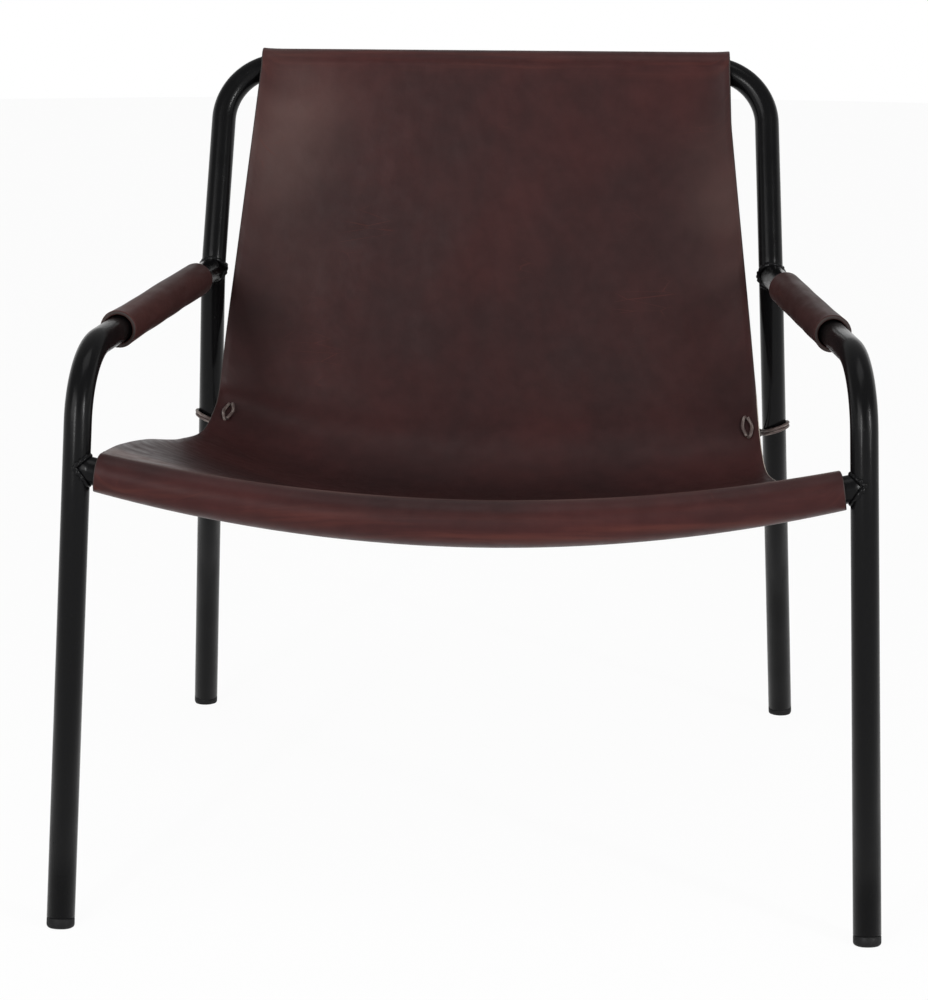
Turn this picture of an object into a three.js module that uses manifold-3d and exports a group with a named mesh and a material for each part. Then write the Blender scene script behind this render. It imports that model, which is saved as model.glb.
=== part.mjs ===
// Leather sling lounge chair on a welded round-tube frame.
// Millimetres. X runs across the chair, Y to the back and Z up; left is -X, as seen from the front.
import * as THREE from 'three';
import { mergeVertices } from 'three/addons/utils/BufferGeometryUtils.js';
import Module from 'manifold-3d';

const wasm = await Module();
wasm.setup();

// Tube and clearances
const tubeDiameter = 26;
const tubeWall = 2;
const seatGap = 0.3;
const cutOverrun = 40;

// Frame corners, on the centre lines of the tubes
const frontFootHalfSpan = 372;
const armCornerHalfSpan = 360;
const armJointHalfSpan = 302;
const rearFootHalfSpan = 333;
const topRailHalfSpan = 295;
const armCornerSetback = 112;
const armJointSetback = 600;
const rearFootSetback = 704;
const topRailSetback = 692;
const armCornerHeight = 519;
const armJointHeight = 524;
const topRailHeight = 737;
const armBend = 80;
const uprightBend = 60;
const topBend = 64;

// Front rail, which bows downwards between the legs
const frontRailHeight = 413;
const frontRailBow = 42;

// Weld beads
const beadReach = 2.4;

// Foot glides
const glideHeight = 9;
const glideEdge = 4;
const glideStem = 20;
const glideFloorCut = 1.5;

// Leather sleeves on the arms, closed by a thread under the arm
const sleeveLeather = 4;
const sleeveFrontSetback = 135;
const sleeveRearSetback = 50;
const sleeveSlit = 1;
const sleeveThread = 1.6;
const sleeveStitch = 20;

// Leather sling
const slingLeather = 4;
const slingTopHalfWidth = 255.5;
const slingSideGap = 3.4;
const hemGap = 0.6;
const hemLength = 20;
const loopEase = 0.8;
const frontLoopSlack = 4;
const hemThread = 1.4;
const hemThreadInset = 7;

// Laces that tie the sling to the rear uprights
const laceDiameter = 4;
const laceClearance = 0.6;
const laceEdgeInset = 16;
const laceHoleSpacing = 20;
const laceSpread = 5;
const laceLoopHeight = 353;
const laceLoopDrop = 6;

// Counts of faces and steps
const tubeSides = 16;
const laceSides = 6;
const threadSides = 5;
const bendStep = THREE.MathUtils.degToRad(12);
const stitchStep = THREE.MathUtils.degToRad(90);
const railSteps = 14;
const slingColumns = 14;
const loopSteps = 7;
const laceSteps = 46;
const glideEdgeSteps = 3;
const tailRows = 2;
const lengthSamples = 400;

// Turn of the leather past the far side of a rail, before it comes back to the panel
const hemTurn = THREE.MathUtils.degToRad(50);

// Half the angle that a stitch under the arm spans
const stitchHalfAngle = THREE.MathUtils.degToRad(12);

// Side edge and middle of the sling from the top rail to the front rail: the share of the
// way from the front rail back to the top rail, and the share of the rise between them
const edgeShares = [
  [0.912, 0.556], [0.852, 0.136], [0.825, -0.072], [0.767, -0.144],
  [0.689, -0.195], [0.52, -0.164], [0.294, -0.073], [0.143, -0.012],
];
const middleShares = [
  [0.905, 0.452], [0.848, -0.024], [0.796, -0.212], [0.719, -0.316],
  [0.623, -0.347], [0.446, -0.306], [0.254, -0.233], [0.093, -0.145],
];

// Growth of the sling's width from its top to its front, at equal steps down the leather
const widthShares = [0, 0.115, 0.23, 0.344, 0.452, 0.532, 0.618, 0.709, 0.799, 0.897, 1];

// Place of the laces on the way down the sling, and their turns round the upright
const laceShare = 0.463;
const laceTurnShares = [-0.55, -0.35, -0.15, 0.05, 0.25, 0.45, 0.65, 0.85];
const laceNarrowShare = 0.5;
const laceBulgeShare = 1.2;

// Growth of the top loop where the rail starts to bend down, and sag of the slack front loop
const topLoopShare = 0.7;
const slackSagShare = 0.6;

// Rows of the sling between its hems, closer where the back turns into the seat
const rowShares = [0, 0.13, 0.23, 0.3, 0.35, 0.4, 0.45, 0.51, 0.6, 0.73, 0.87, 1];

const tubeRadius = tubeDiameter / 2;
const laceRadius = laceDiameter / 2;
const sides = { left: -1, right: 1 };

const finishes = {
  frame: { color: 0x101012, roughness: 0.38, metalness: 0.55 },
  weld: { color: 0x17171a, roughness: 0.45, metalness: 0.55 },
  glide: { color: 0x0c0c0d, roughness: 0.6, metalness: 0 },
  leather: { color: 0x38271f, roughness: 0.5, metalness: 0 },
  sleeve: { color: 0x3d2826, roughness: 0.48, metalness: 0 },
  lace: { color: 0x4a3a33, roughness: 0.6, metalness: 0 },
  thread: { color: 0x241a17, roughness: 0.7, metalness: 0 },
};

const chair = new THREE.Group();

function addMesh(name, geometry, finish) {
  const mesh = new THREE.Mesh(geometry, new THREE.MeshStandardMaterial(finishes[finish]));
  mesh.name = name;
  chair.add(mesh);
}

// Closed solid for a geometry, with shared vertices and no collapsed triangles
function solidOf(geometry) {
  geometry.deleteAttribute('normal');
  geometry.deleteAttribute('uv');
  const merged = mergeVertices(geometry);
  const corners = merged.index.array;
  const kept = [];
  for (let i = 0; i < corners.length; i += 3) {
    const [a, b, c] = corners.slice(i, i + 3);
    if (a !== b && b !== c && c !== a) kept.push(a, b, c);
  }
  return new wasm.Manifold(new wasm.Mesh({
    numProp: 3,
    vertProperties: Float32Array.from(merged.attributes.position.array),
    triVerts: Uint32Array.from(kept),
  }));
}

function geometryOf(solid) {
  const mesh = solid.getMesh();
  const geometry = new THREE.BufferGeometry();
  geometry.setAttribute('position', new THREE.BufferAttribute(mesh.vertProperties, 3));
  geometry.setIndex(new THREE.BufferAttribute(mesh.triVerts, 1));
  return geometry;
}

function vec(x, y, z) {
  return new THREE.Vector3(x, y, z);
}

// Point on the way from one place to another, at a distance from the first
function along(from, to, distance) {
  return from.clone().addScaledVector(to.clone().sub(from).normalize(), distance);
}

// Path with a ring of the tube at each of its stations
class StationPath extends THREE.Curve {
  constructor(points, tangents) {
    super();
    this.points = points;
    this.tangents = tangents;
  }

  get steps() {
    return this.points.length - 1;
  }

  getSpacedPoints() {
    return this.points;
  }

  getTangentAt(share) {
    return this.tangents[Math.round(share * this.steps)].clone();
  }

  // Centre line at a place across the chair, on the run between two stations
  at(x) {
    const next = this.points.findIndex((p, i) => i > 0 && (p.x - x) * (this.points[i - 1].x - x) <= 0
      && Math.abs(this.tangents[i].x) > Math.abs(this.tangents[i].z));
    const [a, b] = [this.points[next - 1], this.points[next]];
    return a.clone().lerp(b, (x - a.x) / (b.x - a.x));
  }
}

// Straight runs between corners, with a round bend at each inner corner
function bentPath(corners, bends, bendAngle = bendStep) {
  const points = [corners[0]];
  const tangents = [corners[1].clone().sub(corners[0]).normalize()];
  bends.forEach((bend, i) => {
    const corner = corners[i + 1];
    const inward = corner.clone().sub(corners[i]).normalize();
    const outward = corners[i + 2].clone().sub(corner).normalize();
    const turn = inward.angleTo(outward);
    const axis = inward.clone().cross(outward).normalize();
    const start = corner.clone().addScaledVector(inward, -bend * Math.tan(turn / 2));
    const centre = start.clone().addScaledVector(axis.clone().cross(inward), bend);
    const steps = Math.max(1, Math.round(turn / bendAngle));
    for (let k = 0; k <= steps; k += 1) {
      const angle = turn * k / steps;
      points.push(start.clone().sub(centre).applyAxisAngle(axis, angle).add(centre));
      tangents.push(inward.clone().applyAxisAngle(axis, angle));
    }
  });
  points.push(corners.at(-1));
  tangents.push(corners.at(-1).clone().sub(corners.at(-2)).normalize());
  return new StationPath(points, tangents);
}

// Stations at equal steps on a smooth curve
function smoothPath(curve, steps) {
  const shares = Array.from({ length: steps + 1 }, (_, i) => i / steps);
  return new StationPath(shares.map((s) => curve.getPointAt(s)), shares.map((s) => curve.getTangentAt(s)));
}

function circle(radius, count) {
  return Array.from({ length: count }, (_, i) => {
    const angle = 2 * Math.PI * (i + 0.5) / count;
    return new THREE.Vector2(radius * Math.cos(angle), radius * Math.sin(angle));
  });
}

// Round bar or, with a wall, round tube along a path
function sweep(path, radius, count, wall = 0) {
  const section = new THREE.Shape(circle(radius, count));
  if (wall > 0) section.holes.push(new THREE.Path(circle(radius - wall, count)));
  return new THREE.ExtrudeGeometry(section, { steps: path.steps, extrudePath: path });
}

// Outline extruded in a turned frame: across and up span the outline, the rest is its length
function extrudeBetween(shape, from, to) {
  const axis = to.clone().sub(from);
  const across = vec(0, 0, 1).cross(axis).normalize();
  const up = axis.clone().normalize().cross(across);
  const geometry = new THREE.ExtrudeGeometry(shape, { depth: axis.length(), bevelEnabled: false });
  geometry.applyMatrix4(new THREE.Matrix4().makeBasis(across, up, axis.normalize()).setPosition(from));
  return geometry;
}

// Tube frame: two front legs that bend back into the arms, one bent rear frame and the front rail
function footEnd(foot, above) {
  return along(foot, above, glideHeight);
}

const footFront = (side) => vec(side * frontFootHalfSpan, 0, 0);
const footRear = (side) => vec(side * rearFootHalfSpan, rearFootSetback, 0);
const armCorner = (side) => vec(side * armCornerHalfSpan, armCornerSetback, armCornerHeight);
const armJoint = (side) => vec(side * armJointHalfSpan, armJointSetback, armJointHeight);
const topCorner = (side) => vec(side * topRailHalfSpan, topRailSetback, topRailHeight);

const rearPath = bentPath([
  footEnd(footRear(-1), armJoint(-1)), armJoint(-1), topCorner(-1),
  topCorner(1), armJoint(1), footEnd(footRear(1), armJoint(1)),
], [uprightBend, topBend, topBend, uprightBend]);

// The inner side of the upright's bend leaves the arm's end on the tube's own centre line
function uprightAxisNear(side, height) {
  const index = rearPath.points.findIndex((p, i) => i > 0 && side * p.x > 0
    && (p.z - height) * (rearPath.points[i - 1].z - height) <= 0);
  const [a, b] = [rearPath.points[index - 1], rearPath.points[index]];
  return a.clone().lerp(b, (height - a.z) / (b.z - a.z));
}

const armEnd = (side) => uprightAxisNear(side, armJointHeight);

const armPath = (side) => bentPath(
  [footEnd(footFront(side), armCorner(side)), armCorner(side), armEnd(side)],
  [armBend],
);

// Centre line of a front leg at a height
function legAt(side, height) {
  return footFront(side).lerp(armCorner(side), height / armCornerHeight);
}

function frontRailPath() {
  const [start, end] = [legAt(-1, frontRailHeight), legAt(1, frontRailHeight)];
  const half = end.x;
  const radius = (half * half + frontRailBow * frontRailBow) / (2 * frontRailBow);
  const halfAngle = Math.asin(half / radius);
  const angles = Array.from({ length: railSteps + 1 }, (_, i) => halfAngle * (2 * i / railSteps - 1));
  const centreHeight = start.z - frontRailBow + radius;
  return new StationPath(
    angles.map((a) => vec(radius * Math.sin(a), start.y, centreHeight - radius * Math.cos(a))),
    angles.map((a) => vec(Math.cos(a), 0, Math.sin(a))),
  );
}

const railPath = frontRailPath();
const rearSolid = solidOf(sweep(rearPath, tubeRadius + seatGap, tubeSides));
const rearFat = solidOf(sweep(rearPath, tubeRadius + beadReach, tubeSides));
const railBody = solidOf(sweep(railPath, tubeRadius + seatGap, tubeSides));
const railFat = solidOf(sweep(railPath, tubeRadius + beadReach, tubeSides));
let railTube = solidOf(sweep(railPath, tubeRadius, tubeSides, tubeWall));

addMesh('rear_frame', sweep(rearPath, tubeRadius, tubeSides, tubeWall), 'frame');

for (const [name, side] of Object.entries(sides)) {
  const path = armPath(side);
  const tube = solidOf(sweep(path, tubeRadius, tubeSides, tubeWall));
  const body = solidOf(sweep(path, tubeRadius + seatGap, tubeSides));
  const fat = solidOf(sweep(path, tubeRadius + beadReach, tubeSides));
  addMesh(`arm_leg_${name}`, geometryOf(tube.subtract(rearSolid)), 'frame');
  addMesh(`weld_arm_${name}`, geometryOf(fat.intersect(rearFat).subtract(body).subtract(rearSolid)), 'weld');
  addMesh(`weld_rail_${name}`, geometryOf(fat.intersect(railFat).subtract(body).subtract(railBody)), 'weld');
  railTube = railTube.subtract(body);
}
addMesh('front_rail', geometryOf(railTube), 'frame');

// Foot glides: a stem in the tube and a round-edged cap, flat on the floor
function glide(foot, above) {
  const end = footEnd(foot, above);
  const stemRadius = tubeRadius - tubeWall - seatGap;
  const bottom = -glideHeight - glideFloorCut;
  const edge = Array.from({ length: glideEdgeSteps + 1 }, (_, i) => {
    const angle = Math.PI / 2 * i / glideEdgeSteps;
    return new THREE.Vector2(
      tubeRadius - glideEdge + glideEdge * Math.sin(angle),
      bottom + glideEdge - glideEdge * Math.cos(angle),
    );
  });
  const profile = [
    new THREE.Vector2(0, bottom), ...edge,
    new THREE.Vector2(tubeRadius, -seatGap), new THREE.Vector2(stemRadius, -seatGap),
    new THREE.Vector2(stemRadius, glideStem), new THREE.Vector2(0, glideStem),
  ];
  const lathe = new THREE.LatheGeometry(profile, tubeSides);
  const axis = above.clone().sub(foot).normalize();
  lathe.applyQuaternion(new THREE.Quaternion().setFromUnitVectors(vec(0, 1, 0), axis));
  lathe.translate(end.x, end.y, end.z);
  const floor = new THREE.BoxGeometry(cutOverrun, cutOverrun, cutOverrun);
  floor.translate(foot.x, foot.y, -cutOverrun / 2);
  return geometryOf(solidOf(lathe).subtract(solidOf(floor)));
}

for (const [name, side] of Object.entries(sides)) {
  addMesh(`glide_front_${name}`, glide(footFront(side), armCorner(side)), 'glide');
  addMesh(`glide_rear_${name}`, glide(footRear(side), armJoint(side)), 'glide');
}

// Arm sleeves: a strip of leather rolled round the arm, its edges meeting in a slit underneath
const sleeveInner = tubeRadius + seatGap;
const sleeveOuter = sleeveInner + sleeveLeather;

function arc(radius, from, to, count) {
  return Array.from({ length: count + 1 }, (_, i) => {
    const angle = from + (to - from) * i / count;
    return new THREE.Vector2(radius * Math.cos(angle), radius * Math.sin(angle));
  });
}

function sleeveShape() {
  const inset = Math.asin(sleeveSlit / 2 / sleeveInner);
  const [from, to] = [-Math.PI / 2 + inset, 1.5 * Math.PI - inset];
  const eased = sleeveInner / Math.cos(Math.PI / tubeSides);
  return new THREE.Shape([...arc(sleeveOuter, from, to, tubeSides), ...arc(eased, to, from, tubeSides)]);
}

// Thread that crosses the slit from side to side along the sleeve
function sleeveThreadPath(from, to) {
  const axis = to.clone().sub(from);
  const across = vec(0, 0, 1).cross(axis).normalize();
  const down = across.clone().cross(axis).normalize();
  const reach = (sleeveOuter + seatGap + sleeveThread / 2) / Math.cos(stitchHalfAngle);
  const count = Math.floor((axis.length() - sleeveStitch) / sleeveStitch);
  const corners = Array.from({ length: count + 1 }, (_, i) => {
    const angle = i % 2 ? stitchHalfAngle : -stitchHalfAngle;
    return along(from, to, sleeveStitch * (i + 0.5))
      .addScaledVector(down, reach * Math.cos(angle))
      .addScaledVector(across, reach * Math.sin(angle));
  });
  return bentPath(corners, Array(count - 1).fill(sleeveThread), stitchStep);
}

for (const [name, side] of Object.entries(sides)) {
  const from = along(armCorner(side), armEnd(side), sleeveFrontSetback);
  const to = along(armEnd(side), armCorner(side), sleeveRearSetback);
  addMesh(`sleeve_${name}`, extrudeBetween(sleeveShape(), from, to), 'sleeve');
  addMesh(`sleeve_thread_${name}`, sweep(sleeveThreadPath(from, to), sleeveThread / 2, threadSides), 'thread');
}

// Sling, column by column across the chair. Flat points hold Y and Z.
const loopInner = tubeRadius + seatGap + loopEase;
const hemOffset = slingLeather + hemGap;
const slingFrontHalfWidth = railPath.points.at(-1).x - tubeRadius - beadReach - slingSideGap;

function flat(point) {
  return new THREE.Vector2(point.y, point.z);
}

function shareBetween(list, share) {
  const place = share * (list.length - 1);
  const low = Math.min(Math.floor(place), list.length - 2);
  return THREE.MathUtils.lerp(list[low], list[low + 1], place - low);
}

// Half width of the sling at a share of the way from the top rail to the front rail
function halfWidthAt(share) {
  return THREE.MathUtils.lerp(slingTopHalfWidth, slingFrontHalfWidth, shareBetween(widthShares, share));
}

// Where the leather leaves a rail: the tangent point of its loop towards a place on the panel
function tangentAngle(centre, radius, target, turn) {
  const way = target.clone().sub(centre);
  return way.angle() + turn * Math.acos(radius / way.length());
}

// Rest of a loop round a rail, from its tangent point to where it comes back to the panel
function loopPoints(centre, radius, startAngle, turn) {
  const total = Math.PI + hemTurn;
  return arc(radius, startAngle, startAngle + turn * total, loopSteps).map((p) => p.add(centre));
}

function hemDistance(radius) {
  const run = (radius * (1 + Math.cos(hemTurn)) - hemOffset) / Math.sin(hemTurn);
  return radius * Math.sin(hemTurn) + run * Math.cos(hemTurn);
}

// Loop at the top rail: it stays level where the rail starts to bend down
function topLoop(u) {
  const level = vec(0, topRailSetback, topRailHeight);
  const actual = rearPath.at(u * slingTopHalfWidth);
  const drop = Math.hypot(actual.y - level.y, actual.z - level.z);
  const radius = loopInner + slingLeather / 2 + topLoopShare * drop;
  return { centre: flat(level.lerp(actual, 1 / 2)), radius };
}

// Loop at the front rail: snug at its ends and slack below the rail in the middle
function frontLoop(u) {
  const actual = railPath.at(u * slingFrontHalfWidth);
  const slack = frontLoopSlack * (1 - u * u);
  actual.z -= slack * slackSagShare;
  return { centre: flat(actual), radius: loopInner + slingLeather / 2 + slack };
}

function panelTarget(edge, middle, u, rail) {
  const origin = new THREE.Vector2(rail.y, frontRailHeight);
  const span = new THREE.Vector2(topRailSetback - rail.y, topRailHeight - frontRailHeight);
  const share = new THREE.Vector2(...middle).lerp(new THREE.Vector2(...edge), u * u);
  return origin.add(span.multiply(share));
}

// Middle of the leather at one column, as places with Y, Z and the share of the way down the panel
function slingColumn(u) {
  const rail = railPath.points[0];
  const targets = edgeShares.map((edge, i) => panelTarget(edge, middleShares[i], u, rail));
  const top = topLoop(u);
  const front = frontLoop(u);
  const topAngle = tangentAngle(top.centre, top.radius, targets[0], -1);
  const frontAngle = tangentAngle(front.centre, front.radius, targets.at(-1), 1);
  const topArc = loopPoints(top.centre, top.radius, topAngle, -1);
  const frontArc = loopPoints(front.centre, front.radius, frontAngle, 1);
  const knots = [topArc[0], ...targets, frontArc[0]];
  const curve = new THREE.CatmullRomCurve3(knots.map((p) => vec(0, p.x, p.y)), false, 'centripetal');
  curve.arcLengthDivisions = lengthSamples;
  const length = curve.getLength();
  const hems = [hemDistance(top.radius), hemDistance(front.radius)];
  const ends = [hems[0] + hemLength, hems[1] + hemLength];
  const spaced = rowShares.map((share) => THREE.MathUtils.lerp(ends[0], length - ends[1], share));
  const distances = [0, hems[0], ...spaced, length - hems[1], length];
  const panel = distances.map((d) => {
    const point = curve.getPointAt(d / length);
    const tangent = curve.getTangentAt(d / length);
    return { place: flat(point), normal: new THREE.Vector2(tangent.z, -tangent.y), share: d / length };
  });
  const behind = ({ place, normal }) => place.clone().addScaledVector(normal, -hemOffset);
  const tail = (pair, loop, share) => [
    { place: behind(pair[1]), share }, { place: behind(pair[0]), share },
    ...loop.slice(1).reverse().map((place) => ({ place, share })),
  ];
  const topTail = tail([panel[1], panel[2]], topArc, 0);
  const frontTail = tail([panel.at(-2), panel.at(-3)], frontArc, 1).reverse();
  return [...topTail, ...panel, ...frontTail];
}

const columnShares = Array.from({ length: slingColumns + 1 }, (_, i) => 2 * i / slingColumns - 1);

function columnPoints(u) {
  return slingColumn(Math.abs(u)).map(({ place, share }) => vec(u * halfWidthAt(share), place.x, place.y));
}

// Sheet of an even thickness about a grid of places, as one closed surface
function thickSheet(grid, thickness) {
  const columns = grid.length;
  const rows = grid[0].length;
  const clampTo = (i, count) => Math.min(Math.max(i, 0), count - 1);
  const at = (i, j) => grid[clampTo(i, columns)][clampTo(j, rows)];
  const positions = [];
  for (const sign of [1, -1]) {
    for (let i = 0; i < columns; i += 1) {
      for (let j = 0; j < rows; j += 1) {
        const acrossWay = at(i + 1, j).clone().sub(at(i - 1, j));
        const before = at(i, j).clone().sub(at(i, j - 1)).normalize();
        const after = at(i, j + 1).clone().sub(at(i, j)).normalize();
        const normal = acrossWay.cross(before.add(after)).normalize();
        positions.push(...at(i, j).clone().addScaledVector(normal, sign * thickness / 2));
      }
    }
  }
  const triangles = [];
  const quad = (a, b, c, d) => triangles.push(a, b, c, a, c, d);
  const id = (face, i, j) => (face * columns + i) * rows + j;
  for (let i = 0; i < columns - 1; i += 1) {
    for (let j = 0; j < rows - 1; j += 1) {
      quad(id(0, i, j), id(0, i + 1, j), id(0, i + 1, j + 1), id(0, i, j + 1));
      quad(id(1, i, j), id(1, i, j + 1), id(1, i + 1, j + 1), id(1, i + 1, j));
    }
    quad(id(0, i, 0), id(1, i, 0), id(1, i + 1, 0), id(0, i + 1, 0));
    quad(id(0, i + 1, rows - 1), id(1, i + 1, rows - 1), id(1, i, rows - 1), id(0, i, rows - 1));
  }
  for (let j = 0; j < rows - 1; j += 1) {
    quad(id(0, 0, j + 1), id(1, 0, j + 1), id(1, 0, j), id(0, 0, j));
    quad(id(0, columns - 1, j), id(1, columns - 1, j), id(1, columns - 1, j + 1), id(0, columns - 1, j + 1));
  }
  const geometry = new THREE.BufferGeometry();
  geometry.setAttribute('position', new THREE.Float32BufferAttribute(positions, 3));
  geometry.setIndex(triangles);
  return geometry;
}

// Laces: each runs down the face of the sling, through two holes and round the upright
const firstPanelRow = loopSteps + tailRows;

// Place, way down and outward normal of the sling near its edge, at a distance from the laces' middle
function slingPlace(side, distance) {
  const insetShare = 1 - laceEdgeInset / halfWidthAt(laceShare);
  const points = columnPoints(side * insetShare).slice(firstPanelRow, -firstPanelRow);
  const steps = points.slice(1).map((p, i) => p.distanceTo(points[i]));
  let rest = laceShare * steps.reduce((sum, step) => sum + step, 0) + distance;
  let index = 0;
  while (rest > steps[index]) {
    rest -= steps[index];
    index += 1;
  }
  const [a, b] = [points[index], points[index + 1]];
  const fall = b.clone().sub(a).normalize();
  return { place: along(a, b, rest), fall, normal: vec(1, 0, 0).cross(fall).negate() };
}

function lacePath(side) {
  const upper = slingPlace(side, -laceHoleSpacing / 2);
  const lower = slingPlace(side, laceHoleSpacing / 2);
  const stand = slingLeather / 2 + laceClearance + laceRadius;
  const out = (spot, height, across, fall) => spot.place.clone()
    .addScaledVector(spot.normal, height)
    .addScaledVector(vec(side, 0, 0), across)
    .addScaledVector(spot.fall, fall);
  const middle = {
    place: upper.place.clone().lerp(lower.place, 1 / 2),
    fall: lower.fall,
    normal: upper.normal.clone().add(lower.normal).normalize(),
  };
  const reach = tubeRadius + 2 * laceClearance + laceRadius;
  const round = laceTurnShares.map((turn, i) => {
    const height = laceLoopHeight + laceLoopDrop * (1 / 2 - i / (laceTurnShares.length - 1));
    const angle = turn * Math.PI;
    return uprightAxisNear(side, height).add(vec(side * reach * Math.cos(angle), reach * Math.sin(angle), 0));
  });
  return smoothPath(new THREE.CatmullRomCurve3([
    out(lower, stand, -laceSpread, -laceRadius),
    out(middle, stand, -laceSpread * laceBulgeShare, 0),
    out(upper, stand, -laceSpread * laceNarrowShare, laceRadius),
    out(upper, 0, 0, 0),
    out(upper, -stand, laceRadius, 0),
    ...round,
    out(lower, -stand, laceRadius, 0),
    out(lower, 0, 0, 0),
    out(lower, stand, laceSpread * laceNarrowShare, -laceRadius),
    out(middle, stand, laceSpread * laceBulgeShare, 0),
    out(upper, stand, laceSpread, laceRadius),
  ], false, 'centripetal'), laceSteps);
}

const slingGrid = columnShares.map(columnPoints);
let sling = solidOf(thickSheet(slingGrid, slingLeather));
for (const [name, side] of Object.entries(sides)) {
  const path = lacePath(side);
  addMesh(`tie_${name}`, sweep(path, laceRadius, laceSides), 'lace');
  sling = sling.subtract(solidOf(sweep(path, laceRadius + laceClearance, laceSides)));
}
addMesh('sling', geometryOf(sling), 'leather');

// Seam threads on the outer face of both hems, from the edge of a hem towards its rail
function hemSeam(edgeRow, railRow, facing) {
  const places = slingGrid.slice(1, -1).map((points) => {
    const way = points[railRow].clone().sub(points[edgeRow]);
    const outward = vec(facing, 0, 0).cross(way).normalize();
    return along(points[edgeRow], points[railRow], hemThreadInset)
      .addScaledVector(outward, slingLeather / 2 + seatGap + hemThread / 2);
  });
  const path = bentPath(places, Array(places.length - 2).fill(hemThread), stitchStep);
  return sweep(path, hemThread / 2, threadSides);
}

const lastRow = slingGrid[0].length - 1;
addMesh('top_hem_thread', hemSeam(0, 1, -1), 'thread');
addMesh('front_hem_thread', hemSeam(lastRow, lastRow - 1, 1), 'thread');

// The origin is on the floor, under the middle of the whole chair
const bounds = new THREE.Box3().setFromObject(chair);
chair.position.y = -(bounds.min.y + bounds.max.y) / 2;
chair.updateMatrixWorld(true);

export default chair;
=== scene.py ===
import math

import bmesh
import bpy
import numpy as np
from mathutils import Euler, Matrix, Vector, noise


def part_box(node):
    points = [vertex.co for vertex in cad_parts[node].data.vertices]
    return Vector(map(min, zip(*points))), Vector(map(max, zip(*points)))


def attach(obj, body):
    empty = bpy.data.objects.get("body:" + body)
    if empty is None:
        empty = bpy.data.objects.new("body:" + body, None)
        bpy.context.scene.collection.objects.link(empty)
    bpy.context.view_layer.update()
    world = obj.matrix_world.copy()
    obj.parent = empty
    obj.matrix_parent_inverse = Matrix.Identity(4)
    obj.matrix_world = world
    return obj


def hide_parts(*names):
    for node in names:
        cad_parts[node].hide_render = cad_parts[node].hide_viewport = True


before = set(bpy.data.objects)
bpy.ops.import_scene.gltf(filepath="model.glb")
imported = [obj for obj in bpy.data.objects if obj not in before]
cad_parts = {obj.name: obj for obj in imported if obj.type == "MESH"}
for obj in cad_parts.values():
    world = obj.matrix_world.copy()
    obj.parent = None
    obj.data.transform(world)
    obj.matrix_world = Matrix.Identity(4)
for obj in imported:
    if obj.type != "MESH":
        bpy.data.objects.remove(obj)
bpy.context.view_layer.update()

# Sizes of the chair in metres: X across, Y back from the front feet, Z up
TUBE_RADIUS = 0.013
FRONT_FOOT = (0.372, 0.0, 0.0)
ARM_CORNER = (0.360, 0.112, 0.519)
ARM_JOINT = (0.302, 0.600, 0.524)
REAR_FOOT = (0.333, 0.704, 0.0)
TOP_CORNER = (0.295, 0.692, 0.737)
ARM_BEND = 0.080
UPRIGHT_BEND = 0.060
TOP_BEND = 0.064
RAIL_HEIGHT = 0.413
RAIL_BOW = 0.042
RAIL_TILT = 0.0095

# Glides: plug in a tube's end, with the heights taken from that end
GLIDE_HEIGHT = 0.009
GLIDE_EDGE = 0.004
GLIDE_OVERRUN = 0.0015
GLIDE_LIP = 0.0012
GLIDE_CHAMFER = 0.0007
GLIDE_SEAM = 0.0003
GLIDE_WALL = 0.0023
GLIDE_STEM = 0.018
GLIDE_HOLE = 0.0005

# Weld beads: the sizes are multiples of the bead's radius
BEAD_RADIUS = 0.0019
BEAD_SIZE_ARM = 1.5
BEAD_SIZE_RAIL = 1.25
BEAD_RIPPLE = 0.2
BEAD_RIPPLES = 22
BEAD_LUMP = 1.4
BEAD_LUMPS_PER_M = 210

LEATHER = 0.004
SLEEVE_GAP = 0.0006
SLEEVE_SLIT = 0.001
SLEEVE_FRONT = {-1: 0.124, 1: 0.147}
SLEEVE_REAR = {-1: 0.072, 1: 0.088}
SLEEVE_SOFTNESS = 0.0008
SLEEVE_FLARE = 0.0007
SLEEVE_FLARE_LENGTH = 0.012
SLEEVE_SWELL = 0.0005
SLEEVE_SWELL_TURN = 1.2
SLEEVE_SWELLS_PER_M = 22
SLEEVE_THREAD = 0.0016
SLEEVE_STITCH = 0.020
SLEEVE_STITCH_LEAD = 0.25
SLEEVE_STITCH_SINK = 1.1
SLEEVE_STITCH_TURN = math.radians(12)
SLEEVE_SEAM_START = 0.008
SLEEVE_SEAM_ENDS = 0.012

SLING_TOP_HALF = 0.2555
SLING_FRONT_HALF = 0.34365
EDGE_SOFTNESS = 0.0009
EDGE_CORNER_SHARE = 0.3
HEM_GAP = 0.0006
HEM_LENGTH = 0.020
HEM_TURN = math.radians(50)
LOOP_GAP = 0.0011
TOP_LOOP_SHARE = 0.7
FRONT_SLACK = 0.004
SLACK_SAG_SHARE = 0.6
HEM_THREAD = 0.0014
HEM_THREAD_RISE = 0.4
HEM_STITCH = 0.009
HEM_STITCH_SPAN = (0.12, 0.88)

LACE_RADIUS = 0.0017
LACE_GAP = 0.0004
LACE_INSET = {-1: 0.0150, 1: 0.0135}
LACE_PLACE = {-1: 0.449, 1: 0.436}
LACE_SPACING = {-1: 0.029, 1: 0.023}
LACE_SPREAD = 0.0050
LACE_NARROW_SHARES = (0.3, 0.4)
LACE_LOOP_HEIGHT = {-1: 0.352, 1: 0.3487}
LACE_LOOP_DROP = 0.0070
LACE_LOOP_TILT = {-1: 0.0070, 1: 0.0058}
LACE_TURNS = np.linspace(-0.95, 2.85, 20)

# Directions: how much of one points up, across or aside before it counts
STEEP = 0.9
RUNS_ACROSS = 0.2
STRAIGHT = 1e-9

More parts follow.
